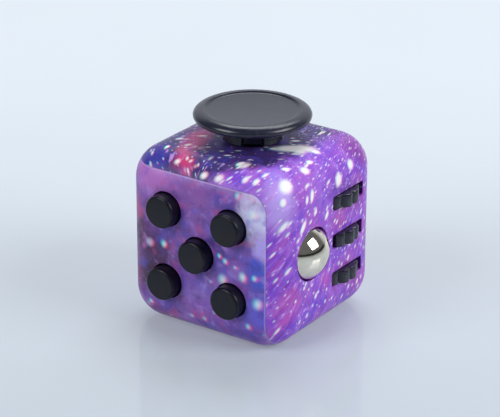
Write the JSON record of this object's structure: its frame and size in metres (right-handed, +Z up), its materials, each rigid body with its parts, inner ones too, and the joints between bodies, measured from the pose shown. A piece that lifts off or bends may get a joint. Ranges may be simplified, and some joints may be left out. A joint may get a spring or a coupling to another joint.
{
  "type": "fidget cube",
  "caption": "Rounded desk toy cube with click buttons, a sliding thumb disc, a ball and thumb gears, a dial, a rocker and a worry dimple.",
  "frame": {"origin": "centre of the cube's bottom face, on the surface it stands on", "axes": "-Y out of the click face, +X out of the roll face, +Z up out of the glide face"},
  "size_m": [0.0375, 0.0374, 0.0386],
  "materials": {
    "print_front": "satin film print of a violet night sky",
    "print_rear": "satin film print of a violet night sky",
    "button_black": "satin",
    "stick_grey": "satin",
    "gear_black": "satin",
    "control_black": "satin",
    "chrome_ball": "polished",
    "steel": "bright",
    "spring_steel": "bright",
    "silicone": "matt",
    "board_green": "matt",
    "washer_white": "matt",
    "inner_plastic": "matt"
  },
  "bodies": {
    "casing": {"front_shell": "print_front", "rear_shell": "print_rear", "shell_dowels": "inner_plastic", "snap_domes": "spring_steel", "silicone_domes": "silicone", "click_board": "board_green", "click_screws": "steel", "glide_housing": "inner_plastic", "glide_springs": "spring_steel", "glide_housing_screws": "steel", "ball_spring": "spring_steel", "gear_axle": "steel", "gear_detents": "spring_steel", "roll_bracket": "inner_plastic", "roll_screws": "steel", "flip_pin": "steel", "flip_housing": "inner_plastic", "flip_spring": "spring_steel", "spin_washer": "washer_white", "spin_base": "inner_plastic", "spin_base_screws": "steel"},
    "click_button_center": {"click_button_center": "button_black"},
    "click_button_upper_left": {"click_button_upper_left": "button_black"},
    "click_button_upper_right": {"click_button_upper_right": "button_black"},
    "click_button_lower_left": {"click_button_lower_left": "button_black"},
    "click_button_lower_right": {"click_button_lower_right": "button_black"},
    "glide_slide": {"glide_cross_slide": "inner_plastic"},
    "glide_stick": {"glide_cap": "stick_grey", "glide_foot": "inner_plastic", "glide_screw": "steel"},
    "ball_carrier": {"ball_cup": "inner_plastic"},
    "ball": {"roll_ball": "chrome_ball"},
    "gear_top": {"gear_top": "gear_black"},
    "gear_middle": {"gear_middle": "gear_black"},
    "gear_bottom": {"gear_bottom": "gear_black"},
    "rocker": {"flip_rocker": "control_black"},
    "dial": {"spin_dial": "control_black", "spin_retainer": "steel", "spin_screw": "steel"}
  },
  "joints": [
    {"name": "press_center", "type": "slide", "parent": "casing", "child": "click_button_center", "axis": [0, 1, 0], "range_m": [0, 0.001], "stiffness_N_per_m": 1200, "springref_m": -0.0004, "deforming": ["snap_domes"]},
    {"name": "press_upper_left", "type": "slide", "parent": "casing", "child": "click_button_upper_left", "axis": [0, 1, 0], "range_m": [0, 0.001], "stiffness_N_per_m": 1200, "springref_m": -0.0004, "deforming": ["snap_domes"]},
    {"name": "press_upper_right", "type": "slide", "parent": "casing", "child": "click_button_upper_right", "axis": [0, 1, 0], "range_m": [0, 0.001], "stiffness_N_per_m": 1200, "springref_m": -0.0004, "deforming": ["silicone_domes"]},
    {"name": "press_lower_left", "type": "slide", "parent": "casing", "child": "click_button_lower_left", "axis": [0, 1, 0], "range_m": [0, 0.001], "stiffness_N_per_m": 1200, "springref_m": -0.0004, "deforming": ["silicone_domes"]},
    {"name": "press_lower_right", "type": "slide", "parent": "casing", "child": "click_button_lower_right", "axis": [0, 1, 0], "range_m": [0, 0.001], "stiffness_N_per_m": 1200, "springref_m": -0.0004, "deforming": ["snap_domes"]},
    {"name": "glide_left_right", "type": "slide", "parent": "casing", "child": "glide_slide", "axis": [1, 0, 0], "range_m": [-0.0014, 0.0014], "stiffness_N_per_m": 300, "deforming": ["glide_springs"]},
    {"name": "glide_front_back", "type": "slide", "parent": "glide_slide", "child": "glide_stick", "axis": [0, 1, 0], "range_m": [-0.0014, 0.0014], "stiffness_N_per_m": 300, "deforming": ["glide_springs"]},
    {"name": "ball_click", "type": "slide", "parent": "casing", "child": "ball_carrier", "axis": [-1, 0, 0], "range_m": [0, 0.0008], "stiffness_N_per_m": 1500, "springref_m": -0.0004, "deforming": ["ball_spring"]},
    {"name": "ball_roll", "type": "hinge", "parent": "ball_carrier", "child": "ball", "pos_m": [0.01375, -0.0053, 0.0167], "axis": [0, 0, 1], "continuous": true},
    {"name": "gear_top_spin", "type": "hinge", "parent": "casing", "child": "gear_top", "pos_m": [0.0129, 0.00545, 0.0238], "axis": [0, 0, 1], "continuous": true, "deforming": ["gear_detents"]},
    {"name": "gear_middle_spin", "type": "hinge", "parent": "casing", "child": "gear_middle", "pos_m": [0.0129, 0.00545, 0.0165], "axis": [0, 0, 1], "continuous": true, "deforming": ["gear_detents"]},
    {"name": "gear_bottom_spin", "type": "hinge", "parent": "casing", "child": "gear_bottom", "pos_m": [0.0129, 0.00545, 0.0092], "axis": [0, 0, 1], "continuous": true, "deforming": ["gear_detents"]},
    {"name": "rocker_flip", "type": "hinge", "parent": "casing", "child": "rocker", "pos_m": [-0.0132, 0, 0.0165], "axis": [0, 1, 0], "range_deg": [0, 20], "deforming": ["flip_spring"]},
    {"name": "dial_spin", "type": "hinge", "parent": "casing", "child": "dial", "pos_m": [0, 0.0165, 0.0165], "axis": [0, 1, 0], "continuous": true}
  ]
}
